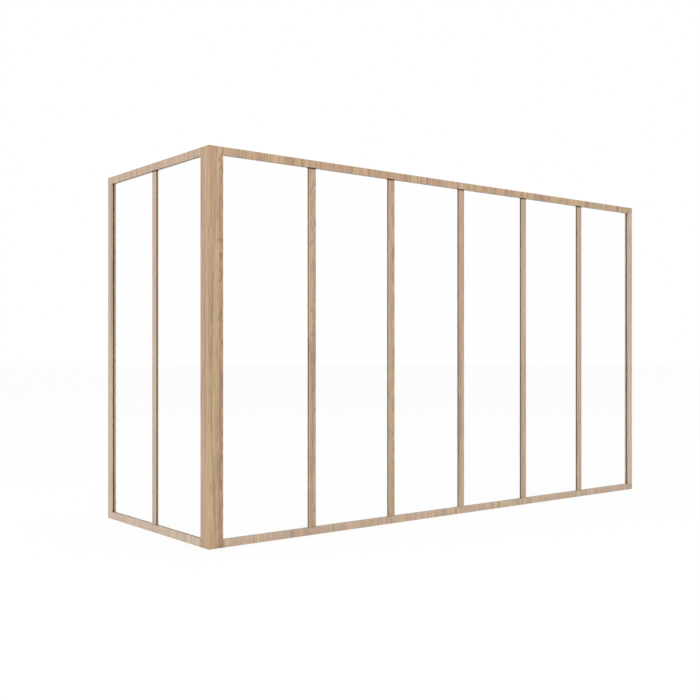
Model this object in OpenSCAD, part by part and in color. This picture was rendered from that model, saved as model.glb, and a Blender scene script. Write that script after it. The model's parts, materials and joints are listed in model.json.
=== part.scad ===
// Corner glass partition: an oak frame of two legs that meet at a corner post,
// with tall clear panes parted by slim glazing bars.
// X runs along the long leg, Y along the short leg, Z up. The outer faces are
// y = 0 on the long leg and x = 0 on the short leg, and the base is z = 0.

/* [Overall size] */
// Length of the long leg, measured along its outer face
long_l = 1860; // [1000:5:2400]
// Length of the short leg, measured along its outer face
short_l = 635; // [450:5:1300]
// Height of the partition
height = 1080; // [500:5:1400]

/* [Bar layout] */
// Centre of the long leg's first bar, from the outer corner
long_first_bar = 344.5; // [200:0.5:450]
// Distance between the long leg's bars, centre to centre
long_bar_pitch = 301; // [200:1:450]
// Centre of the short leg's first bar, from the outer corner
short_first_bar = 325; // [200:0.5:330]
// Distance between the short leg's bars, centre to centre
short_bar_pitch = 301; // [200:1:450]
// Narrowest last pane that is worth another bar before it
least_pane = 60; // [50:5:120]

/* [Timber] */
// Side of the square corner post
post_w = 45; // [42:1:90]
// Face height of the rails
rail_h = 21; // [20:1:50]
// Face width of the end stiles
stile_w = 25; // [22:1:50]
// Depth of the rails and the end stiles, from outside to inside
member_d = 16; // [15:0.5:30]
// Thickness of the lip that stands outside the glass
lip_t = 5.5; // [4.5:0.1:6.5]
// Depth of the rebates and grooves behind the sight line
rebate_h = 8; // [6:0.5:9]
// Chamfer on the frame's long edges
arris = 0.6; // [0.2:0.1:1.5]
// Chamfer on the post's outer corner
post_arris = 1.2; // [0.2:0.1:3]
// Chamfer on the inner edge of the glazing beads
bead_arris = 1.2; // [0.2:0.1:2]

/* [Glazing] */
// Thickness of the glass
glass_t = 4; // [3:0.5:4]
// Thickness of the rubber on each face of the glass
gasket_leg = 0.4; // [0.3:0.1:0.8]
// Thickness of the rubber under the edge of the glass
gasket_base = 1; // [0.5:0.1:2]
// How far the rubber reaches up each face of the glass from its edge
gasket_grip = 3; // [2:0.5:4]
// Face width of the glazing bars
bar_w = 25; // [22:1:45]
// Thickness of a bar's two cheeks, in front of and behind the glass
bar_cheek = 1; // [0.6:0.1:3]
// Chamfer on the bars' long edges
bar_arris = 0.25; // [0.1:0.05:0.3]
// Height of the rubber packers that take up the play above each bar
packer_t = 3.5; // [2:0.5:5]
// Play of a bar's tongue in front of and behind it
tongue_play = 0.1; // [0.05:0.05:0.2]

/* [Fasteners] */
// Diameter of the dowels in the frame's corners
dowel_d = 6; // [5:0.5:8]
// Length of those dowels
dowel_l = 30; // [24:1:36]
// Chamfer on the ends of the dowels
dowel_arris = 1; // [0.2:0.1:1.5]
// Spare depth of a dowel's hole beyond the dowel's end
dowel_spare = 0.8; // [0.2:0.1:2]
// Shank diameter of the screws that hold a bar's tongue
bar_screw_d = 3; // [2:0.1:3.5]
// Head diameter of those screws
bar_screw_head_d = 5.2; // [4.6:0.1:5.6]
// Depth of the lip that those screws bite into
bar_screw_bite = 3.5; // [2:0.1:4]
// Width of the cross cut in a screw's head
screw_slot_w = 0.7; // [0.4:0.1:1]
// Depth of that cross
screw_slot_t = 0.5; // [0.2:0.1:0.8]
// Shank diameter of the brads that hold the glazing beads
brad_d = 1.6; // [1:0.1:2]
// Head diameter of the brads
brad_head_d = 2.8; // [2.4:0.1:3.2]
// Thickness of the brads' heads
brad_head_t = 0.8; // [0.5:0.1:1.2]
// Length of the brads
brad_l = 18; // [14:1:19]
// Radial play of dowels, screws and brads in their holes
play = 0.05; // [0.02:0.01:0.1]

/* [Fixing holes] */
// Diameter of the screw holes that fix the frame to sill, ceiling and walls
fix_d = 4.5; // [3.5:0.1:5]
// Diameter of their countersinks
fix_head_d = 8.6; // [7:0.1:9]
// Distance from the frame's top or base to the nearest wall fixing
fix_end = 150; // [80:5:180]
// Widest distance allowed between two wall fixings
fix_reach = 300; // [200:10:400]
// Diameter of the pin holes in the post's foot and head
post_bore_d = 8; // [6:0.5:10]
// Depth of those pin holes
post_bore_l = 40; // [20:1:60]

/* [Hidden] */
$fn = 48;
// How far a cut runs past the surface that it opens
past = 1;
oak = "#c7a582";
oak_bar = "#c2a17e";
glass_colour = [0.86, 0.94, 0.92, 0.3];
rubber = "#3b3026";
steel = "#a9a9a6";
beech = "#d8b98c";

// Room between the lip and the beads, and what it leaves for the beads
slot_t = glass_t + 2 * gasket_leg;
slot_y = lip_t + slot_t;
bead_y = (slot_y + member_d) / 2;
// Timber left under a rail's rebate and beside a stile's, how far the glass goes in,
// how far the rubber lies behind the sight line, and the head's heights
rail_sound = rail_h - rebate_h;
stile_sound = stile_w - rebate_h;
cover = rebate_h - gasket_base;
gasket_set = cover - gasket_grip;
head_z = height - rail_h;
head_floor_z = height - rail_sound;
// The bars stand around the glass, and their tongues and screws lie in the rebates
bar_y = lip_t - bar_cheek;
bar_d = slot_t + 2 * bar_cheek;
bar_top_z = head_z - packer_t;
web_w = bar_w - 2 * rebate_h;
tongue_d = slot_t - 2 * tongue_play;
screw_z = rail_sound + rebate_h / 2;
screw_l = member_d - lip_t + bar_screw_bite;
fix_y = (lip_t + member_d) / 2;

// Number of bars that leave a last pane of at least least_pane
function bar_count(len, first, pitch) =
    floor((len - stile_w - least_pane - bar_w / 2 - first) / pitch) + 1;
// Centres of the bars along a leg
function bar_places(first, pitch, bars) = [for (i = [1:1:bars]) first + pitch * (i - 1)];
// Near and far sight line of pane i, counted from the post, and its middle
function pane_lo(xs, i) = i == 1 ? post_w : xs[i - 2] + bar_w / 2;
function pane_hi(len, xs, i) = i > len(xs) ? len - stile_w : xs[i - 1] - bar_w / 2;
function pane_mid(len, xs, i) = (pane_lo(xs, i) + pane_hi(len, xs, i)) / 2;
// A brad stands a quarter of the way along each pane
function brad_x(len, xs, i) = (pane_lo(xs, i) + pane_mid(len, xs, i)) / 2;
function numbered(name, many) = [for (i = [1:1:many]) str(name, i)];

long_bars = bar_count(long_l, long_first_bar, long_bar_pitch);
short_bars = bar_count(short_l, short_first_bar, short_bar_pitch);
long_xs = bar_places(long_first_bar, long_bar_pitch, long_bars);
short_xs = bar_places(short_first_bar, short_bar_pitch, short_bars);

// Heights of the wall fixings, and of the end beads' brads between and beyond them
wall_gaps = max(1, ceil((height - 2 * fix_end) / fix_reach));
wall_pitch = (height - 2 * fix_end) / wall_gaps;
wall_zs = [for (k = [0:1:wall_gaps]) fix_end + k * wall_pitch];
end_brad_z = (rail_h + fix_end) / 2;
brad_zs = concat(
    [end_brad_z],
    [for (k = [1:1:wall_gaps]) wall_zs[k] - wall_pitch / 2],
    [height - end_brad_z]);

// Turns a piece of the long leg into one of the short leg
module on_short_leg() {
    mirror([1, -1, 0]) children();
}

// Turns a piece at the foot into one at the head
module at_head() {
    translate([0, 0, height]) mirror([0, 0, 1]) children();
}

// A box between two corners
module block(low, high) {
    translate(low) cube(high - low);
}

// Outline of a rectangle, with one chamfer for each corner in turn from the origin
module edged(w, d, c) {
    polygon([
        [c[0], 0], [w - c[1], 0],
        [w, c[1]], [w, d - c[2]],
        [w - c[2], d], [c[3], d],
        [0, d - c[3]], [0, c[0]]]);
}

// Extrudes an outline of depth and height along the leg, from x = low to x = high
module along_leg(low, high) {
    translate([low, 0, 0]) rotate([90, 0, 90]) linear_extrude(high - low) children();
}

// A dowel with chamfered ends, centred on the origin along Z
module dowel() {
    rotate_extrude() {
        polygon([
            [0, -dowel_l / 2], [dowel_d / 2 - dowel_arris, -dowel_l / 2],
            [dowel_d / 2, dowel_arris - dowel_l / 2], [dowel_d / 2, dowel_l / 2 - dowel_arris],
            [dowel_d / 2 - dowel_arris, dowel_l / 2], [0, dowel_l / 2]]);
    }
}

// The hole for that dowel, half of it in each piece
module dowel_hole() {
    cylinder(h = dowel_l + 2 * dowel_spare, d = dowel_d + 2 * play, center = true);
}

// Places children at the joint of a rail's near end and the post, along the leg
module at_post_joint() {
    translate([post_w, member_d / 2, rail_sound / 2]) rotate([0, 90, 0]) children();
}

// Places children at the joint of the bottom rail and the end stile
module at_stile_joint(len) {
    translate([len - stile_sound / 2, member_d / 2, rail_h]) children();
}

// A hole along Z with a countersink whose mouth is at z = 0
module countersunk_hole(d, head_d, l) {
    sink = (head_d - d) / 2;
    translate([0, 0, -l - past]) cylinder(h = l + 2 * past, d = d);
    translate([0, 0, -sink]) cylinder(h = sink, d1 = d, d2 = head_d);
    cylinder(h = past, d = head_d);
}

// A screw that holds a bar's tongue, with the top of its head at z = 0
module bar_screw() {
    sink = (bar_screw_head_d - bar_screw_d) / 2;
    cross = bar_screw_head_d - 2 * screw_slot_w;
    difference() {
        union() {
            translate([0, 0, -screw_l]) cylinder(h = screw_l - sink, d = bar_screw_d);
            translate([0, 0, -sink]) cylinder(h = sink, d1 = bar_screw_d, d2 = bar_screw_head_d);
        }
        for (turn = [0, 90]) {
            rotate(turn) translate([0, 0, past - screw_slot_t])
                cube([cross, screw_slot_w, 2 * past], center = true);
        }
    }
}

// Places children where a bar's foot is screwed, facing the inside of the leg
module at_bar_screw(x) {
    translate([x, member_d, screw_z]) rotate([-90, 0, 0]) children();
}

// The bar screw's way through bead, tongue and lip
module bar_screw_hole(x) {
    wide = 2 * play;
    sink = (bar_screw_head_d - bar_screw_d) / 2;
    at_bar_screw(x) {
        translate([0, 0, -screw_l]) cylinder(h = screw_l + past, d = bar_screw_d + wide);
        translate([0, 0, -sink])
            cylinder(h = sink, d1 = bar_screw_d + wide, d2 = bar_screw_head_d + wide);
        cylinder(h = past, d = bar_screw_head_d + wide);
    }
}

// A brad with the top of its head at z = 0
module brad() {
    translate([0, 0, -brad_l]) cylinder(h = brad_l - brad_head_t, d = brad_d);
    translate([0, 0, -brad_head_t]) cylinder(h = brad_head_t, d = brad_head_d);
}

// The hole for that brad
module brad_hole() {
    wide = 2 * play;
    translate([0, 0, -brad_l]) cylinder(h = brad_l, d = brad_d + wide);
    translate([0, 0, -brad_head_t]) cylinder(h = brad_head_t + past, d = brad_head_d + wide);
}

// Places children on the foot bead, and on the end bead facing the pane
module at_foot_brad(x) {
    translate([x, bead_y, rail_h]) children();
}
module at_end_brad(len, z) {
    translate([len - stile_w, bead_y, z]) rotate([0, -90, 0]) children();
}

// The bottom rail of a leg, between the post and the leg's far end
module rail(len, xs) {
    difference() {
        along_leg(post_w, len) edged(member_d, rail_h, [arris, arris, arris, arris]);
        block(
            [post_w - past, lip_t, rail_sound],
            [len - stile_sound, member_d + past, rail_h + past]);
        at_post_joint() dowel_hole();
        at_stile_joint(len) dowel_hole();
        for (x = xs) bar_screw_hole(x);
        for (i = [1:1:len(xs) + 1]) {
            at_foot_brad(brad_x(len, xs, i)) brad_hole();
            translate([pane_mid(len, xs, i), fix_y, rail_sound])
                countersunk_hole(fix_d, fix_head_d, rail_sound);
        }
    }
}

// The stile at a leg's far end, between the rails
module end_stile(len) {
    difference() {
        translate([len - stile_w, 0, rail_h]) linear_extrude(head_z - rail_h)
            edged(stile_w, member_d, [arris, arris, arris, arris]);
        block([len - stile_w - past, lip_t, 0], [len - stile_sound, member_d + past, height]);
        at_stile_joint(len) dowel_hole();
        at_head() at_stile_joint(len) dowel_hole();
        for (z = brad_zs) at_end_brad(len, z) brad_hole();
        for (z = wall_zs) {
            translate([len - stile_sound, fix_y, z]) rotate([0, -90, 0])
                countersunk_hole(fix_d, fix_head_d, stile_sound);
        }
    }
}

// A glazing bar of H section, with a tongue at each end for the rebates
module glazing_bar(x) {
    difference() {
        union() {
            translate([x - bar_w / 2, bar_y, rail_h]) linear_extrude(bar_top_z - rail_h)
                edged(bar_w, bar_d, [bar_arris, bar_arris, bar_arris, bar_arris]);
            block(
                [x - web_w / 2, lip_t + tongue_play, rail_sound],
                [x + web_w / 2, lip_t + tongue_play + tongue_d, head_floor_z]);
        }
        for (side = [-1, 1]) {
            translate([x + side * (web_w + rebate_h + past) / 2, lip_t + slot_t / 2, height / 2])
                cube([rebate_h + past, slot_t, height], center = true);
        }
        bar_screw_hole(x);
        at_head() bar_screw_hole(x);
    }
}

// The two rubber packers between a bar's cheeks and the head
module packers(x) {
    for (y = [bar_y, slot_y]) {
        block([x - bar_w / 2, y, bar_top_z], [x + bar_w / 2, y + bar_cheek, head_z]);
    }
}

// The glass of pane i
module pane(len, xs, i) {
    block(
        [pane_lo(xs, i) - cover, lip_t + gasket_leg, rail_h - cover],
        [pane_hi(len, xs, i) + cover, lip_t + gasket_leg + glass_t, head_z + cover]);
}

// The rubber channel around the edge of pane i
module gasket(len, xs, i) {
    difference() {
        block(
            [pane_lo(xs, i) - rebate_h, lip_t, rail_sound],
            [pane_hi(len, xs, i) + rebate_h, slot_y, head_floor_z]);
        block(
            [pane_lo(xs, i) - gasket_set, lip_t - past, rail_h - gasket_set],
            [pane_hi(len, xs, i) + gasket_set, slot_y + past, head_z + gasket_set]);
        pane(len, xs, i);
    }
}

// The bead that closes the bottom rail's rebate
module foot_bead(len, xs) {
    difference() {
        along_leg(post_w, len - stile_sound) translate([slot_y, rail_sound])
            edged(member_d - slot_y, rebate_h, [0, 0, bead_arris, 0]);
        for (x = xs) bar_screw_hole(x);
        for (i = [1:1:len(xs) + 1]) at_foot_brad(brad_x(len, xs, i)) brad_hole();
    }
}

// The bead that closes the end stile's rebate
module end_bead(len) {
    difference() {
        translate([len - stile_w, slot_y, rail_h]) linear_extrude(head_z - rail_h)
            edged(rebate_h, member_d - slot_y, [0, 0, 0, bead_arris]);
        for (z = brad_zs) at_end_brad(len, z) brad_hole();
    }
}

// The groove in the post for the first pane of a leg
module post_groove() {
    block([post_w - rebate_h, lip_t, rail_sound], [post_w + past, slot_y, head_floor_z]);
}

// The two dowels of a leg's rails and its two stile dowels
module leg_dowels(len) {
    at_post_joint() dowel();
    at_head() at_post_joint() dowel();
    at_stile_joint(len) dowel();
    at_head() at_stile_joint(len) dowel();
}

// The screws at the foot and head of a leg's bars
module leg_bar_screws(xs) {
    for (x = xs) {
        at_bar_screw(x) bar_screw();
        at_head() at_bar_screw(x) bar_screw();
    }
}

// The brads of a leg's three beads
module leg_brads(len, xs) {
    for (i = [1:1:len(xs) + 1]) {
        at_foot_brad(brad_x(len, xs, i)) brad();
        at_head() at_foot_brad(brad_x(len, xs, i)) brad();
    }
    for (z = brad_zs) at_end_brad(len, z) brad();
}

module corner_post() color(oak) {
    difference() {
        linear_extrude(height)
            edged(post_w, post_w, [post_arris, arris, arris, arris]);
        post_groove();
        on_short_leg() post_groove();
        at_post_joint() dowel_hole();
        at_head() at_post_joint() dowel_hole();
        on_short_leg() at_post_joint() dowel_hole();
        on_short_leg() at_head() at_post_joint() dowel_hole();
        translate([post_w / 2, post_w / 2, -past])
            cylinder(h = post_bore_l + past, d = post_bore_d);
        at_head() translate([post_w / 2, post_w / 2, -past])
            cylinder(h = post_bore_l + past, d = post_bore_d);
    }
}

module long_bottom_rail() color(oak) rail(long_l, long_xs);
module long_top_rail() color(oak) at_head() rail(long_l, long_xs);
module long_end_stile() color(oak) end_stile(long_l);
module short_bottom_rail() color(oak) on_short_leg() rail(short_l, short_xs);
module short_top_rail() color(oak) on_short_leg() at_head() rail(short_l, short_xs);
module short_end_stile() color(oak) on_short_leg() end_stile(short_l);

module long_bar(i) color(oak_bar) glazing_bar(long_xs[i - 1]);
module short_bar(i) color(oak_bar) on_short_leg() glazing_bar(short_xs[i - 1]);
module long_pane(i) color(glass_colour) pane(long_l, long_xs, i);
module short_pane(i) color(glass_colour) on_short_leg() pane(short_l, short_xs, i);
module long_gasket(i) color(rubber) gasket(long_l, long_xs, i);
module short_gasket(i) color(rubber) on_short_leg() gasket(short_l, short_xs, i);

module long_bottom_bead() color(oak) foot_bead(long_l, long_xs);
module long_top_bead() color(oak) at_head() foot_bead(long_l, long_xs);
module long_end_bead() color(oak) end_bead(long_l);
module short_bottom_bead() color(oak) on_short_leg() foot_bead(short_l, short_xs);
module short_top_bead() color(oak) on_short_leg() at_head() foot_bead(short_l, short_xs);
module short_end_bead() color(oak) on_short_leg() end_bead(short_l);

module bar_packers() color(rubber) {
    for (x = long_xs) packers(x);
    on_short_leg() for (x = short_xs) packers(x);
}

module frame_dowels() color(beech) {
    leg_dowels(long_l);
    on_short_leg() leg_dowels(short_l);
}

module bar_screws() color(steel) {
    leg_bar_screws(long_xs);
    on_short_leg() leg_bar_screws(short_xs);
}

module bead_brads() color(steel) {
    leg_brads(long_l, long_xs);
    on_short_leg() leg_brads(short_l, short_xs);
}

corner_post();
long_bottom_rail();
long_top_rail();
long_end_stile();
short_bottom_rail();
short_top_rail();
short_end_stile();
for (i = [1:1:long_bars]) long_bar(i);
for (i = [1:1:short_bars]) short_bar(i);
for (i = [1:1:long_bars + 1]) {
    long_pane(i);
    long_gasket(i);
}
for (i = [1:1:short_bars + 1]) {
    short_pane(i);
    short_gasket(i);
}
long_bottom_bead();
long_top_bead();
long_end_bead();
short_bottom_bead();
short_top_bead();
short_end_bead();
bar_packers();
frame_dowels();
bar_screws();
bead_brads();
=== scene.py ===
# %% [markdown]
# A corner glass partition: two legs of slim oak framing that meet at a square corner post,
# with tall clear panes between them. The timber, the glass and their joints come ready from
# the packed model. This lesson dresses them and makes their screws and brads anew.
# Everything is in metres, in the model's own frame: X runs along the long leg, Y along the
# short leg, Z is up, and the outer corner of the post's foot stands at the origin.

# %% Load the packed model
import json

import bpy
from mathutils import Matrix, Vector


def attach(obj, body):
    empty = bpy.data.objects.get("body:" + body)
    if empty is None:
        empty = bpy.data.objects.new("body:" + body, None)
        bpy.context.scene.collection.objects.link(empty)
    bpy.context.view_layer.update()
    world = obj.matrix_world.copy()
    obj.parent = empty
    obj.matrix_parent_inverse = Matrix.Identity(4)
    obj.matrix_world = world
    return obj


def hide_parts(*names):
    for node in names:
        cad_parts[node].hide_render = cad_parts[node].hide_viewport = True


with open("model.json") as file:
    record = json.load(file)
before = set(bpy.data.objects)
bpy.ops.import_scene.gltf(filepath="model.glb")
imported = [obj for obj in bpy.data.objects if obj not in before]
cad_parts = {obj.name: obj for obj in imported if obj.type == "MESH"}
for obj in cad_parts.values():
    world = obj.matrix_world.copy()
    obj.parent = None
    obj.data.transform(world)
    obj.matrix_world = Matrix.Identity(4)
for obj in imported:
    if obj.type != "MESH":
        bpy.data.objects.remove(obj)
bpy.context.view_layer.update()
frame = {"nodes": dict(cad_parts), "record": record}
nodes = frame["nodes"]
MM = 0.001

# %% [markdown]
# The camera is level, so the upright edges stay parallel. The picture's two vanishing points
# give its direction and a lens of 50 mm on a 36 mm frame, and the frame's known height gives
# the distance. The shift is the little by which the horizon misses the middle.

# %% Camera
EYE = Vector((-1.3068, -2.2707, 0.5291))
LOOK = Vector((0.6182, 0.7860, 0.0))
LENS_MM = 50.02
FILM_MM = 36.0
HORIZON_SHIFT = 0.0019

scene = bpy.context.scene
camera = bpy.data.objects.new("camera", bpy.data.cameras.new("camera"))
camera.data.lens = LENS_MM
camera.data.sensor_width = FILM_MM
camera.data.shift_y = HORIZON_SHIFT
camera.location = EYE
camera.rotation_euler = LOOK.to_track_quat("-Z", "Y").to_euler()
scene.collection.objects.link(camera)
scene.camera = camera
scene.view_settings.view_transform = "Standard"
print("camera", tuple(EYE), "lens", LENS_MM, "mm")

# %% [markdown]
# Materials and shapes are both networks of nodes, and most of a network is arithmetic. A
# small class wraps an output socket and overloads the operators, so that an expression such
# as 1 - mask * 0.3 adds its own Math nodes. The reflected forms let a plain number stand
# first. Every other node comes from one method, which takes the node's type, its settings
# and the values or links of its sockets.

# %% Arithmetic on sockets
class Wire:
    """An output socket of a node, on which arithmetic adds Math nodes."""

    def __init__(self, graph, socket):
        self.graph = graph
        self.socket = socket

    def __add__(self, other):
        return self.graph.math("ADD", self, other)

    def __radd__(self, other):
        return self.graph.math("ADD", other, self)

    def __sub__(self, other):
        return self.graph.math("SUBTRACT", self, other)

    def __rsub__(self, other):
        return self.graph.math("SUBTRACT", other, self)

    def __mul__(self, other):
        return self.graph.math("MULTIPLY", self, other)

    def __rmul__(self, other):
        return self.graph.math("MULTIPLY", other, self)

    def between(self, low, high):
        """Goes from low, where the wire is 0, to high, where it is 1."""
        return self * (high - low) + low


class Graph:
    """A network of nodes, in a material, in the world or in a Geometry Nodes tree."""

    def __init__(self, tree):
        self.tree = tree

    def node(self, kind, settings=None, sockets=None, out=0):
        """Adds a node and wires it. out is the output to go on with, or a tuple of several."""
        made = self.tree.nodes.new(kind)
        for name, value in (settings or {}).items():
            if name == "stops":
                self.set_stops(made.color_ramp.elements, value)
            else:
                setattr(made, name, value)
        for name, value in (sockets or {}).items():
            self.feed(made.inputs[name], value)
        if isinstance(out, tuple):
            return [Wire(self, made.outputs[name]) for name in out]
        return Wire(self, made.outputs[out]) if len(made.outputs) else made

    def feed(self, socket, value):
        """Links a wire, or each of a list of wires, to a socket, or gives it a value."""
        for one in value if isinstance(value, list) else [value]:
            if isinstance(one, Wire):
                self.tree.links.new(one.socket, socket)
            else:
                socket.default_value = one

    def set_stops(self, elements, stops):
        """Gives a colour ramp its stops, each a place and a colour."""
        while len(elements) < len(stops):
            elements.new(1.0)
        for element, (place, colour) in zip(elements, stops):
            element.position = place
            element.color = colour

    def math(self, operation, *values):
        """A Math node on wires and numbers, in their order."""
        return self.node("ShaderNodeMath", {"operation": operation}, dict(enumerate(values)))


print("socket arithmetic ready")

# %% [markdown]
# Wood, rubber and metal get their looks from the same few nodes: a noise that stands in for
# chance, a ramp that picks out some of its values, a mix of two colours, and a bump that
# tilts the surface a little. Each gets a short word here, so that a finish can be read like
# a recipe. The patterns lie on Object coordinates, which are in metres, so that the scale of
# a noise is the number of its waves to the metre.

# %% Words for the nodes that finishes share
# A Mix node's colour sockets go by number, because its other kinds share their names
MIX_SHARE, MIX_FIRST, MIX_SECOND, MIX_COLOUR = 0, 6, 7, 2


def grey(level):
    return (level, level, level, 1.0)


class Finish(Graph):
    """The network of a new material, with the place on the object ready for patterns."""

    def __init__(self, name):
        self.material = bpy.data.materials.new(name)
        self.material.use_nodes = True
        super().__init__(self.material.node_tree)
        self.tree.nodes.clear()
        self.place = self.node("ShaderNodeTexCoord", out="Object")

    def noise(self, where, per_m, detail, roughness=0.5):
        """Smooth chance values, with per_m waves to the metre."""
        return self.node("ShaderNodeTexNoise", {}, {
            "Vector": where, "Scale": per_m, "Detail": detail, "Roughness": roughness}, out="Fac")

    def ramp(self, wire, *stops):
        """Levels over the values of a wire. Each stop is a value and its level."""
        colours = [(value, grey(level)) for value, level in stops]
        return self.node("ShaderNodeValToRGB", {"stops": colours}, {"Fac": wire}, out="Color")

    def mix(self, share, first, second, way="MIX"):
        """The first colour, with a share of the second laid on it."""
        return self.node("ShaderNodeMix", {"data_type": "RGBA", "blend_type": way}, {
            MIX_SHARE: share, MIX_FIRST: first, MIX_SECOND: second}, out=MIX_COLOUR)

    def bump(self, height, strength, depth):
        """The surface's direction, tilted as by a height map that is depth high."""
        return self.node("ShaderNodeBump", {}, {
            "Strength": strength, "Distance": depth, "Height": height}, out="Normal")

    def painted(self, sockets):
        """The material, ended in a Principled surface."""
        return self.ended(self.node("ShaderNodeBsdfPrincipled", {}, sockets))

    def ended(self, surface):
        """The material, ended in a surface."""
        self.node("ShaderNodeOutputMaterial", {}, {"Surface": surface})
        return self.material


print("words for finishes:", ", ".join(word for word in vars(Finish) if word[0] != "_"))

# %% [markdown]
# Oak seen from close by has several layers, and the next cells make them one by one. Every
# layer reads a noise that is stretched along the grain. A Mapping node does this: it shrinks
# the coordinates along the grain, and its offset picks the place in the endless noise that a
# board is cut from, so that no two boards look alike.

# %% Cut a board from the noise
GRAIN_STRETCH = 0.022
FIGURE_STRETCH = 0.22
STREAK_STRETCH = 0.07


def cut(wood, grain, offset, stretch):
    """Places for a noise, stretched along the axes named in grain."""
    scale = tuple(stretch if axis in grain else 1.0 for axis in "XYZ")
    return wood.node("ShaderNodeMapping", {}, {
        "Vector": wood.place, "Location": offset, "Scale": scale})


print("grain is", round(1 / GRAIN_STRETCH), "times as long as it is wide")

# %% [markdown]
# The ground comes first. Bands of deeper wood come from the board's history, and a slower
# noise turns some stretches a little pinker and others a little yellower. One noise serves
# both, with its high values for the one and its low values for the other, so that they never
# meet in one place.

# %% Oak's ground
PALE_OAK = (0.605, 0.422, 0.258, 1.0)
DEEP_OAK = (0.360, 0.228, 0.127, 1.0)
PINK_OAK = (0.530, 0.315, 0.203, 1.0)
GOLD_OAK = (0.480, 0.355, 0.178, 1.0)
BANDS_PER_M = 46
HUES_PER_M = 21
HUE_SHARE = 0.6


def oak_ground(wood, boards):
    """Pale oak with deeper bands and with pinker and yellower stretches."""
    bands = wood.noise(boards, BANDS_PER_M, detail=3.0, roughness=0.65)
    bands = wood.ramp(bands, (0.38, 0.0), (0.62, 1.0))
    hue = wood.noise(boards, HUES_PER_M, detail=1.0)
    pinker = wood.ramp(hue, (0.50, 0.0), (0.60, HUE_SHARE))
    yellower = wood.ramp(hue, (0.38, HUE_SHARE), (0.47, 0.0))
    colour = wood.mix(bands, PALE_OAK, DEEP_OAK)
    colour = wood.mix(pinker, colour, PINK_OAK)
    return wood.mix(yellower, colour, GOLD_OAK)


print("bands about", round(0.5 / BANDS_PER_M / MM), "mm wide")

# %% [markdown]
# Growth lines are contour lines of a slow noise, with a finer one that makes them wobble. The
# noise times the number of lines, less its whole part, climbs from 0 to 1 between two lines,
# and a ramp keeps the end of that climb: wood darkens slowly towards the end of a year and
# then starts pale again. Where a board was sawn flat through the rings, the lines swell into
# arches. So a second set of contours, which is less stretched, is laid where such figure
# shows, beyond a distance along X.

# %% Growth lines and arched figure
LATE_WOOD = (0.235, 0.140, 0.080, 1.0)
FIGURE_WOOD = (0.165, 0.118, 0.078, 1.0)
RINGS_PER_M = 11
RING_LINES = 17
RING_WOBBLE = 0.8
FIGURE_PER_M = 42
FIGURE_LINES = 6


def growth(wood, boards):
    """How far the wood has come from one growth line to the next, from 0 to 1."""
    slow = wood.noise(boards, RINGS_PER_M, detail=1.6, roughness=0.45)
    wobble = wood.noise(boards, BANDS_PER_M, detail=2.0)
    return wood.math("FRACT", slow * RING_LINES + wobble * RING_WOBBLE)


def arched_figure(wood, arched, start, end, share):
    """Arches that come in from start to end along X, and reach share there."""
    slow = wood.noise(arched, FIGURE_PER_M, detail=2.0, roughness=0.4)
    arches = wood.math("FRACT", slow * FIGURE_LINES)
    arches = wood.ramp(arches, (0.0, 0.0), (0.40, 0.05), (0.86, 1.0), (0.95, 1.0), (1.0, 0.0))
    along_x = wood.node("ShaderNodeSeparateXYZ", {}, {"Vector": wood.place}, out="X")
    shown = wood.node("ShaderNodeMapRange", {}, {
        "Value": along_x, "From Min": start, "From Max": end, "To Max": share})
    return arches * shown


print(RING_LINES, "growth lines and", FIGURE_LINES, "arches over the range of their noise")

# %% [markdown]
# The finest layers are short dark and pale streaks and the open pores, which are dark dashes
# that lie mostly in the early wood, just after a growth line.

# %% Streaks and pores
PORE = (0.150, 0.090, 0.052, 1.0)
STREAKS_PER_M = 230
STREAK_SHARE = 0.45
PORES_PER_M = 1500
PORES_ELSEWHERE = 0.35


def streaked(wood, short, colour):
    """A colour with dark and pale streaks laid on it."""
    streak = wood.noise(short, STREAKS_PER_M, detail=1.0)
    dark = wood.ramp(streak, (0.50, 0.0), (0.68, STREAK_SHARE))
    pale = wood.ramp(streak, (0.32, STREAK_SHARE), (0.50, 0.0))
    return wood.mix(pale, wood.mix(dark, colour, DEEP_OAK), PALE_OAK)


def open_pores(wood, boards, rings):
    """Dashes in the early wood, and fainter ones elsewhere."""
    early = wood.ramp(rings, (0.0, 1.0), (0.5, 0.0))
    dashes = wood.noise(boards, PORES_PER_M, detail=1.0)
    dashes = wood.ramp(dashes, (0.62, 0.0), (0.70, 1.0))
    return dashes * (early + PORES_ELSEWHERE)


print("pores about", round(1 / PORES_PER_M / MM, 1), "mm apart")

# %% [markdown]
# The layers now lie on each other, the broad ones first. A screen blend with white makes a
# piece paler, because it lifts the colour and keeps the contrast of the grain. The share is
# partly each piece's own tone and partly painted light, set piece by piece in the next cell.
# Fibres stand up a little from the planed surface, and pores and late wood lie lower. Fibres
# and pores are rougher too. So the same noises make the height map and the roughness.

# %% Oak
FIBRES_PER_M = 620
FIBRE_SHARE = 0.22
PORE_SHARE = 0.45
FIBRE_HEIGHT = 0.35
PORE_DEPTH = 0.6
LATE_DEPTH = 0.25
OAK_RELIEF = 0.25 * MM
PLANED_ROUGHNESS = 0.28
PORE_ROUGHNESS = 0.2
FIBRE_ROUGHNESS = 0.12


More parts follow.
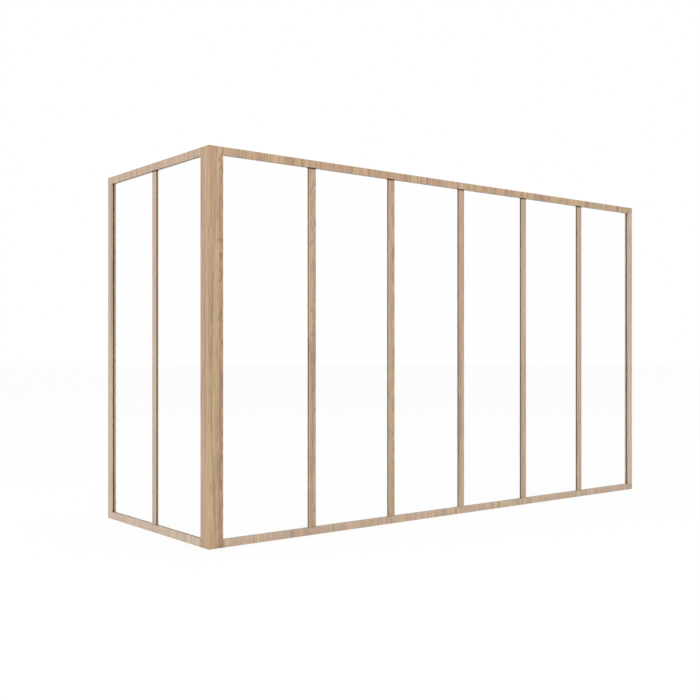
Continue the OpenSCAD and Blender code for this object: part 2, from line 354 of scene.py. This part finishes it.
def oak(name, grain, offset, lines, pale_and_painted_light, figure):
    """Oak along the axes named in grain, cut from offset.

    lines and pale_and_painted_light are shares. The second is a screen with white, which
    gives a piece its paler tone and painted light. figure says where arches come in and how
    strongly.
    """
    wood = Finish(name)
    boards = cut(wood, grain, offset, GRAIN_STRETCH)
    rings = growth(wood, boards)
    late = wood.ramp(rings, (0.0, 0.0), (0.76, 0.08), (0.93, 1.0), (1.0, 0.0))
    arches = arched_figure(wood, cut(wood, grain, offset, FIGURE_STRETCH), *figure)
    fibre = wood.noise(boards, FIBRES_PER_M, detail=2.0, roughness=0.6)
    pores = open_pores(wood, boards, rings)

    colour = wood.mix(late * lines, oak_ground(wood, boards), LATE_WOOD)
    colour = wood.mix(arches, colour, FIGURE_WOOD)
    colour = streaked(wood, cut(wood, grain, offset, STREAK_STRETCH), colour)
    colour = wood.mix(fibre * FIBRE_SHARE, colour, DEEP_OAK)
    colour = wood.mix(pores * PORE_SHARE, colour, PORE)
    height = fibre * FIBRE_HEIGHT - pores * PORE_DEPTH - late * LATE_DEPTH
    return wood.painted({
        # Screen with white: the piece's paler tone, and painted light on the far and low pieces
        "Base Color": wood.mix(pale_and_painted_light, colour, grey(1.0), "SCREEN"),
        "Roughness": PLANED_ROUGHNESS + pores * PORE_ROUGHNESS + fibre * FIBRE_ROUGHNESS,
        "Normal": wood.bump(height, strength=0.35, depth=OAK_RELIEF)})


print("oak with relief of", OAK_RELIEF / MM, "mm")

# %% [markdown]
# In the picture the fibres stand upright on every piece, on the rails too, as on veneered
# stock that is cut from one sheet. So the uprights and bars are stretched along Z, and a
# rail is stretched along both directions that lie across it, which carries its fibres round
# from the face to the top. The rails' growth lines are the strongest. The offsets are plain
# steps, one for each piece, and bar 1 goes on to a place where the noise gives pinker wood.
# The far boards and those near the floor are made the palest, which is painted light: it
# stands in for the pale sheen of boards seen at a slant and for the light from below.
# Arched figure shows at the right edge of the post and on two of the bars.

# %% Dress the timber
RAIL_LINES = 1.0
OTHER_LINES = 0.75
UPRIGHT = "Z"
ROUND_LONG_RAIL = "YZ"
ROUND_SHORT_RAIL = "XZ"
STEP = Vector((3.7, 5.3, 2.9))
STEPS_TO_PINK = {"long_bar_1": 59}
# Share of white for each piece: partly its own tone, and on the far and low pieces painted light
PALE_AND_PAINTED_LIGHT = {
    "corner_post": 0.0, "long_bar_1": 0.03, "long_bar_2": 0.01, "long_bar_3": 0.04,
    "long_bar_4": 0.07, "long_bar_5": 0.05, "long_end_stile": 0.14, "long_top_rail": 0.02,
    "long_bottom_rail": 0.10, "short_bar_1": 0.06, "short_end_stile": 0.10,
    "short_top_rail": 0.07, "short_bottom_rail": 0.17}
PALE_AND_PAINTED_LIGHT_ELSEWHERE = 0.05
# Where the arches start to show along X, where they show fully, and their share there
FIGURE = {
    "corner_post": (0.026, 0.034, 0.80),
    "long_bar_1": (0.332, 0.342, 0.60),
    "long_bar_2": (0.640, 0.650, 0.50)}
NO_FIGURE = (9.0, 10.0, 0.0)


def dress(node, material):
    """Gives a node of the packed model one material."""
    mesh = nodes[node].data
    mesh.materials.clear()
    mesh.materials.append(material)


def grain_of(node):
    """The directions that a timber piece's fibres follow."""
    if "rail" in node or "bottom_bead" in node or "top_bead" in node:
        return ROUND_LONG_RAIL if node.startswith("long") else ROUND_SHORT_RAIL
    return UPRIGHT


timber = [row["node"] for row in frame["record"]["subparts"]
          if row["material_slot"] in ("oak", "oak_bar", "oak_bead")]
for number, node in enumerate(timber):
    dress(node, oak(
        "oak_" + node, grain_of(node),
        offset=STEP * STEPS_TO_PINK.get(node, number),
        lines=RAIL_LINES if "rail" in node else OTHER_LINES,
        pale_and_painted_light=PALE_AND_PAINTED_LIGHT.get(node, PALE_AND_PAINTED_LIGHT_ELSEWHERE),
        figure=FIGURE.get(node, NO_FIGURE)))
print("dressed", len(timber), "pieces of oak")

# %% [markdown]
# A window pane hardly bends what is seen through it, so a pane is made without refraction:
# most of a ray passes straight on, and a share is mirrored. That share is a twenty-fifth head
# on and all of it along the pane, and it grows with the fifth power of the slant. This way
# also lets the lamps shine through. No pane is quite flat, and a very weak bump with slow
# waves gives that.

# %% The pane's clear faces
GLASS_IOR = 1.5
HEAD_ON = ((GLASS_IOR - 1) / (GLASS_IOR + 1)) ** 2
SLANT_POWER = 5.0
PANE_TINT = (0.994, 1.0, 0.997, 1.0)
WAVES_PER_M = 5.0
WAVE_DEPTH = 1.0 * MM
PLAIN_SLANT = 0.5


def clear_face(pane):
    """A face that lets most of a ray through and mirrors the rest."""
    waves = pane.noise(pane.place, WAVES_PER_M, detail=1.0)
    waves = pane.bump(waves, strength=0.03, depth=WAVE_DEPTH)
    mirror = pane.node("ShaderNodeBsdfAnisotropic", {}, {
        "Color": grey(1.0), "Roughness": 0.0, "Normal": waves})
    clear = pane.node("ShaderNodeBsdfTransparent", {}, {"Color": PANE_TINT})
    slant = pane.node("ShaderNodeLayerWeight", {}, {"Blend": PLAIN_SLANT}, out="Facing")
    mirrored = pane.math("POWER", slant, SLANT_POWER).between(HEAD_ON, 1.0)
    return pane.node("ShaderNodeMixShader", {}, {0: mirrored, 1: clear, 2: mirror})


print("mirrored head on:", round(HEAD_ON, 3))

# %% [markdown]
# The narrow faces round a pane are where glass shows its green, so they get a surface of
# their own. They are found by the direction that they face: the squares of the two parts of
# the normal that lie in the pane's plane add up to 1 there and to 0 on the clear faces. The
# green is deep, because dark rubber lies round it.

# %% The pane's green edge
EDGE_GREEN = (0.080, 0.170, 0.120, 1.0)
SPECKLES_PER_M = 900.0
EDGE_ROUGHNESS = (0.1, 0.4)


def edge_mask(pane, axes):
    """1 on the faces that look along one of the two axes named, and 0 on the others."""
    normal = pane.node("ShaderNodeNewGeometry", out="Normal")
    parts = pane.node("ShaderNodeSeparateXYZ", {}, {"Vector": normal}, out=tuple(axes))
    in_plane = parts[0] * parts[0] + parts[1] * parts[1]
    return pane.math("GREATER_THAN", in_plane, 0.5)


def green_edge(pane):
    """The cut edge, which is a little rough in places."""
    speckle = pane.noise(pane.place, SPECKLES_PER_M, detail=2.0)
    return pane.node("ShaderNodeBsdfPrincipled", {}, {
        "Base Color": EDGE_GREEN, "Roughness": speckle.between(*EDGE_ROUGHNESS),
        "IOR": GLASS_IOR})


def glass(name, edge_axes):
    """Clear float glass whose edge faces look along the axes named in edge_axes."""
    pane = Finish(name)
    return pane.ended(pane.node("ShaderNodeMixShader", {}, {
        0: edge_mask(pane, edge_axes), 1: clear_face(pane), 2: green_edge(pane)}))


glass_of = {"long": glass("glass_long", "XZ"), "short": glass("glass_short", "YZ")}
paned = [node for node in nodes if "_pane_" in node]
for node in paned:
    dress(node, glass_of[node.split("_")[0]])
print("dressed", len(paned), "panes")

# %% [markdown]
# Of the rubber, only the channels' edges in the grooves and the packers above the bars show.
# The packers' dark rubber is partly painted shade: it makes the dark line under the head
# rails, where the rails' shade falls on the bars.
# It is dark brown and matt, with a fine grit and a trace of bloom, the pale film that rubber
# gets with age.

# %% Rubber
BROWN_RUBBER = (0.056, 0.030, 0.013, 1.0)
BLOOMED_RUBBER = (0.076, 0.044, 0.022, 1.0)
BLOOM_PER_M = 38.0
RUBBER_GRIT_PER_M = 2400.0
RUBBER_GRIT = 0.1 * MM
RUBBER_ROUGHNESS = (0.62, 0.82)
RUBBER_SHEEN = 0.2


def rubber(name):
    """Moulded rubber that bloom has made duller in places."""
    piece = Finish(name)
    bloom = piece.noise(piece.place, BLOOM_PER_M, detail=4.0)
    grit = piece.noise(piece.place, RUBBER_GRIT_PER_M, detail=2.0)
    return piece.painted({
        "Base Color": piece.mix(bloom, BROWN_RUBBER, BLOOMED_RUBBER),
        "Roughness": bloom.between(*RUBBER_ROUGHNESS),
        "Specular IOR Level": RUBBER_SHEEN,
        "Normal": piece.bump(grit, strength=0.2, depth=RUBBER_GRIT)})


channel_rubber = rubber("glazing_rubber")
channels = [node for node in nodes if "_gasket_" in node]
# The packers' dark rubber partly paints the shade under the head rails
for node in channels + ["bar_packers"]:
    dress(node, channel_rubber)
print("dressed", len(channels), "rubber channels and the packers")

# %% [markdown]
# The dowels are beech, which is pale with short flecks. They lie wholly inside the joints,
# and show only when the model is taken apart.

# %% Beech
PALE_BEECH = (0.66, 0.48, 0.30, 1.0)
DEEP_BEECH = (0.50, 0.33, 0.19, 1.0)
TONE_PER_M = 120.0
FLECKS_PER_M = 900.0
FLECK_SHARE = 0.3
BEECH_ROUGHNESS = (0.55, 0.75)


def beech(name):
    """Beech whose tone drifts slowly under short flecks."""
    piece = Finish(name)
    tone = piece.noise(piece.place, TONE_PER_M, detail=3.0)
    fleck = piece.node("ShaderNodeTexVoronoi", {}, {
        "Vector": piece.place, "Scale": FLECKS_PER_M}, out="Distance")
    return piece.painted({
        "Base Color": piece.mix(
            tone * (1.0 - FLECK_SHARE) + fleck * FLECK_SHARE, PALE_BEECH, DEEP_BEECH),
        "Roughness": fleck.between(*BEECH_ROUGHNESS)})


dress("frame_dowels", beech("beech"))
print("dressed the dowels")

# %% [markdown]
# Twelve screws hold the bars and twenty-six brads hold the beads. New ones stand for those
# of the packed model, each in the hole that was drilled for it. So the model's own are
# measured first: a node's mesh is split into its loose solids, and the wider end of each is
# its head.

# %% Measure the fasteners
import bmesh

MERGE_AT = 0.001 * MM
FLAT_TO = 0.02 * MM
SORT_DIGITS = 5


def loose_parts(mesh):
    """The corner points of each separate solid in a mesh."""
    solids = bmesh.new()
    solids.from_mesh(mesh)
    bmesh.ops.remove_doubles(solids, verts=solids.verts, dist=MERGE_AT)
    left = set(solids.verts)
    while left:
        part = set()
        waiting = [left.pop()]
        while waiting:
            corner = waiting.pop()
            part.add(corner)
            near = {edge.other_vert(corner) for edge in corner.link_edges} & left
            left -= near
            waiting += near
        yield [corner.co.copy() for corner in part]
    solids.free()


def head_of(points):
    """The middle of a fastener's head and the way that it faces."""
    low = Vector([min(p[i] for p in points) for i in range(3)])
    high = Vector([max(p[i] for p in points) for i in range(3)])
    along = max(range(3), key=lambda i: high[i] - low[i])
    across = (along + 1) % 3

    def breadth(end):
        level = [p[across] for p in points if abs(p[along] - end[along]) < FLAT_TO]
        return max(level) - min(level)

    end, way = (high, 1.0) if breadth(high) > breadth(low) else (low, -1.0)
    top = (low + high) / 2
    top[along] = end[along]
    facing = Vector((0.0, 0.0, 0.0))
    facing[along] = way
    return top, facing


def heads_in(node):
    """The heads of all fasteners in a node of the packed model, in a fixed order."""
    heads = [head_of(points) for points in loose_parts(nodes[node].data)]
    return sorted(heads, key=lambda head: tuple(round(x, SORT_DIGITS) for x in head[0]))


screw_heads = heads_in("bar_screws")
brad_heads = heads_in("bead_brads")
print(len(screw_heads), "screws,", len(brad_heads), "brads, first brad at", tuple(brad_heads[0][0]))

# %% [markdown]
# All fasteners of one kind are alike, so Geometry Nodes makes one from a few sizes. It is
# three round stubs, the head, the shank and the tip, made one solid. A cross is cut into the
# head of a screw, and a cross of no depth leaves a brad plain.

# %% The shape of a fastener
SIDES = 24
QUARTER_TURN = 1.5708
# A tip ends at this share of the shank's width
TIP_POINT = 0.15


def stub(tree, top, bottom, depth, upper_end):
    """A round stub along Z, from upper_end - depth up to upper_end."""
    made = tree.node("GeometryNodeMeshCone", {}, {
        "Vertices": SIDES, "Radius Top": top * 0.5, "Radius Bottom": bottom * 0.5,
        "Depth": depth}, out="Mesh")
    place = tree.node("ShaderNodeCombineXYZ", {}, {"Z": upper_end - depth})
    return tree.node("GeometryNodeTransform", {}, {"Geometry": made, "Translation": place})


def cross_arm(tree, given, angle):
    """One arm of the cross. Half its height stands above the head, so that it cuts cleanly."""
    size = tree.node("ShaderNodeCombineXYZ", {}, {
        "X": given["Cross Span"], "Y": given["Cross Width"], "Z": given["Cross Depth"] * 2.0})
    made = tree.node("GeometryNodeMeshCube", {}, {"Size": size}, out="Mesh")
    return tree.node("GeometryNodeTransform", {}, {"Geometry": made, "Rotation": (0.0, 0.0, angle)})


def one_fastener(tree, given):
    """A screw or a brad that points down Z, with the top of its head at the origin."""
    shank_width = given["Shank Width"]
    shank_top = given["Head Depth"] * -1.0
    tip_top = given["Tip Length"] - given["Length"]
    head = stub(tree, given["Head Top"], given["Head Bottom"], given["Head Depth"], 0.0)
    shank = stub(tree, shank_width, shank_width, shank_top - tip_top, shank_top)
    tip = stub(tree, shank_width, shank_width * TIP_POINT, given["Tip Length"], tip_top)
    solid = tree.node("GeometryNodeMeshBoolean", {"operation": "UNION"}, {
        "Mesh 2": [head, shank, tip]})
    crossed = tree.node("GeometryNodeMeshBoolean", {"operation": "DIFFERENCE"}, {
        "Mesh 1": solid,
        "Mesh 2": [cross_arm(tree, given, 0.0), cross_arm(tree, given, QUARTER_TURN)]})
    has_cross = tree.node("FunctionNodeCompare", {"operation": "GREATER_THAN"}, {
        0: given["Cross Depth"], 1: 0.0})
    return tree.node("GeometryNodeSwitch", {"input_type": "GEOMETRY"}, {
        "Switch": has_cross, "False": solid, "True": crossed})


print("stubs have", SIDES, "sides")

# %% [markdown]
# The tree repeats the fastener wherever a point stands, turned to face as that point says. A
# screwdriver leaves every cross at its own angle, which a random turn with a fixed seed
# gives. The export drops instances, so the tree ends by making them real and giving them
# their finish.

# %% The tree that repeats a fastener
SIZES = ("Head Top", "Head Bottom", "Head Depth", "Shank Width", "Length", "Tip Length",
         "Cross Span", "Cross Width", "Cross Depth")
# A Random Value node's sockets go by number, because its kinds share their names too
LOWEST, HIGHEST, DRAWN = 2, 3, 1


def add_inputs(group):
    """Gives a tree its inputs and its output, and returns the inputs' identifiers."""
    kinds = {"Geometry": "NodeSocketGeometry"}
    kinds.update({size: "NodeSocketFloat" for size in SIZES})
    kinds.update({"Seed": "NodeSocketInt", "Finish": "NodeSocketMaterial"})
    add = group.interface.new_socket
    ids = {name: add(name, in_out="INPUT", socket_type=kind).identifier
           for name, kind in kinds.items()}
    add("Geometry", in_out="OUTPUT", socket_type="NodeSocketGeometry")
    return ids


def repeated(tree, given, fastener):
    """A fastener at each point, which faces the point's way and has its own turn."""
    facing = tree.node("GeometryNodeInputNamedAttribute", {"data_type": "FLOAT_VECTOR"}, {
        "Name": "facing"})
    turned = tree.node("FunctionNodeAlignRotationToVector", {"axis": "Z"}, {"Vector": facing})
    points = tree.node("GeometryNodeInstanceOnPoints", {}, {
        "Points": given["Geometry"], "Instance": fastener, "Rotation": turned})
    spin = tree.node("FunctionNodeRandomValue", {"data_type": "FLOAT"}, {
        LOWEST: 0.0, HIGHEST: QUARTER_TURN, "Seed": given["Seed"]}, out=DRAWN)
    spin = tree.node("ShaderNodeCombineXYZ", {}, {"Z": spin})
    return tree.node("GeometryNodeRotateInstances", {}, {"Instances": points, "Rotation": spin})


fasteners = bpy.data.node_groups.new("fasteners", "GeometryNodeTree")
input_ids = add_inputs(fasteners)
tree = Graph(fasteners)
given = dict(zip(input_ids, tree.node("NodeGroupInput", out=tuple(input_ids))))
placed = repeated(tree, given, one_fastener(tree, given))
solids = tree.node("GeometryNodeRealizeInstances", {}, {"Geometry": placed})
solids = tree.node("GeometryNodeSetMaterial", {}, {
    "Geometry": solids, "Material": given["Finish"]})
tree.node("NodeGroupOutput", {}, {"Geometry": solids})
print("tree", fasteners.name, "with inputs", ", ".join(input_ids))

# %% [markdown]
# The metal is zinc-plated wire and bar stock. It is bright but not polished: a fine noise
# spreads the gloss, and a slow one dulls it in patches, as handling does.

# %% Steel
BRIGHT_ZINC = (0.56, 0.56, 0.55, 1.0)
DULL_ZINC = (0.40, 0.41, 0.42, 1.0)
DULLING_PER_M = 420.0
ZINC_GRIT_PER_M = 5200.0
ZINC_GRIT = 0.05 * MM
ZINC_ROUGHNESS = (0.22, 0.47)


def steel(name):
    """Zinc-plated steel that handling has dulled in places."""
    piece = Finish(name)
    dull = piece.noise(piece.place, DULLING_PER_M, detail=3.0)
    grit = piece.noise(piece.place, ZINC_GRIT_PER_M, detail=2.0)
    return piece.painted({
        "Base Color": piece.mix(dull, BRIGHT_ZINC, DULL_ZINC),
        "Metallic": 1.0,
        "Roughness": dull.between(*ZINC_ROUGHNESS),
        "Normal": piece.bump(grit, strength=0.15, depth=ZINC_GRIT)})


zinc = steel("zinc_plated_steel")
print("metal", zinc.name)

# %% [markdown]
# A mesh that holds only points is the host of the tree: one point for each head, with the
# way that it faces as an attribute. The tree's inputs are set by their identifiers, and the
# evaluated result becomes a plain mesh, which takes the place of a node of the packed model.
# The host isn't needed after that.

# %% Make the screws and the brads
SCREW_SIZES = {
    "Head Top": 5.2 * MM, "Head Bottom": 3.0 * MM, "Head Depth": 1.1 * MM,
    "Shank Width": 3.0 * MM, "Length": 14.0 * MM, "Tip Length": 2.4 * MM,
    "Cross Span": 3.2 * MM, "Cross Width": 0.7 * MM, "Cross Depth": 0.9 * MM}
BRAD_SIZES = {
    "Head Top": 2.6 * MM, "Head Bottom": 2.8 * MM, "Head Depth": 0.8 * MM,
    "Shank Width": 1.6 * MM, "Length": 18.0 * MM, "Tip Length": 2.0 * MM,
    "Cross Span": 0.0, "Cross Width": 0.0, "Cross Depth": 0.0}
SCREW_SEED = 7
BRAD_SEED = 11


def points_at(name, heads):
    """An object with a point at each head, which holds the way that the head faces."""
    points = bpy.data.meshes.new(name)
    points.from_pydata([top for top, _ in heads], [], [])
    ways = points.attributes.new("facing", "FLOAT_VECTOR", "POINT")
    for way, (_, facing) in zip(ways.data, heads):
        way.vector = facing
    host = bpy.data.objects.new(name, points)
    scene.collection.objects.link(host)
    return host


def make_fasteners(name, heads, sizes, seed, stands_for):
    """A plain mesh of fasteners, one at each head, in place of a node."""
    host = points_at(name + "_points", heads)
    maker = host.modifiers.new("fasteners", "NODES")
    maker.node_group = fasteners
    for given_name, value in {**sizes, "Seed": seed, "Finish": zinc}.items():
        maker[input_ids[given_name]] = value
    shaped = host.evaluated_get(bpy.context.evaluated_depsgraph_get())
    piece = bpy.data.objects.new(name, bpy.data.meshes.new_from_object(shaped))
    bpy.data.objects.remove(host)
    scene.collection.objects.link(piece)
    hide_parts(stands_for)
    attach(piece, "root")
    print(name, "has", len(heads), "solids and", len(piece.data.polygons), "faces")


make_fasteners("cross_head_screws", screw_heads, SCREW_SIZES, SCREW_SEED, "bar_screws")
make_fasteners("glazing_brads", brad_heads, BRAD_SIZES, BRAD_SEED, "bead_brads")

# %% [markdown]
# The picture is lit like a studio with white walls. Rays from the camera and from mirrors see
# a pure white background, through a pane too, because a ray that passes straight on keeps
# its kind. The diffuse rays, which light the object, see a dimmer background, and lamps make
# up the rest.

# %% Background
SKY_LIGHT = 0.90


def seen_directly(graph):
    """1 for rays from the camera and from gloss, and 0 for all others."""
    camera_ray, gloss_ray = graph.node("ShaderNodeLightPath", out=(
        "Is Camera Ray", "Is Glossy Ray"))
    return graph.math("MINIMUM", camera_ray + gloss_ray, 1.0)


scene.world = bpy.data.worlds.new("white_studio")
scene.world.use_nodes = True
scene.world.node_tree.nodes.clear()
sky = Graph(scene.world.node_tree)
backdrop = sky.node("ShaderNodeBackground", {}, {
    "Color": grey(1.0), "Strength": seen_directly(sky).between(SKY_LIGHT, 1.0)})
sky.node("ShaderNodeOutputWorld", {}, {"Surface": backdrop})
print("background 1.0, sky light", SKY_LIGHT)

# %% [markdown]
# The ground under the partition is as white as the background, and still takes its shadow.
# So the floor is a pale matt surface, to which a share of even white is added for the rays
# that see it directly. It is so wide that its far edge lies close to the horizon.

# %% Floor
FLOOR_HALF = 30.0
FLOOR_ALBEDO = 0.95
FLOOR_GLOW = 0.85

floor_mesh = bpy.data.meshes.new("floor")
floor_mesh.from_pydata(
    [(-FLOOR_HALF, -FLOOR_HALF, 0.0), (FLOOR_HALF, -FLOOR_HALF, 0.0),
     (FLOOR_HALF, FLOOR_HALF, 0.0), (-FLOOR_HALF, FLOOR_HALF, 0.0)], [], [(0, 1, 2, 3)])
floor = bpy.data.objects.new("floor", floor_mesh)
scene.collection.objects.link(floor)
ground = Finish("pale_floor")
lit = ground.node("ShaderNodeBsdfDiffuse", {}, {"Color": grey(FLOOR_ALBEDO)})
glow = ground.node("ShaderNodeEmission", {}, {"Color": grey(1.0), "Strength": 1.0})
floor_mesh.materials.append(ground.ended(ground.node("ShaderNodeMixShader", {}, {
    0: seen_directly(ground) * FLOOR_GLOW, 1: lit, 2: glow})))
print("floor", 2 * FLOOR_HALF, "m square")

# %% [markdown]
# Three large soft lamps add a little light from the left, from the front and from above.
# Light from above deepens the dark line under the head rails, which the dark packers above
# the bars paint in part. The lamps are hidden from the camera and from mirrors, so that no
# pane shows one.

# %% Lamps
AIM = Vector((0.8, 0.3, 0.55))
LAMP_WIDTH = 3.0
# Place and watts of each lamp
LAMPS = {
    "left_lamp": ((-4.2, -1.2, 2.6), 40.0),
    "front_lamp": ((-0.2, -4.6, 2.4), 26.0),
    "top_lamp": ((0.8, 0.3, 4.2), 20.0)}

for name, (place, watts) in LAMPS.items():
    light = bpy.data.lights.new(name, "AREA")
    light.size = LAMP_WIDTH
    light.energy = watts
    lamp = bpy.data.objects.new(name, light)
    lamp.location = place
    lamp.rotation_euler = (AIM - Vector(place)).to_track_quat("-Z", "Y").to_euler()
    lamp.visible_camera = False
    lamp.visible_glossy = False
    scene.collection.objects.link(lamp)
    print(name, watts, "W at", place)
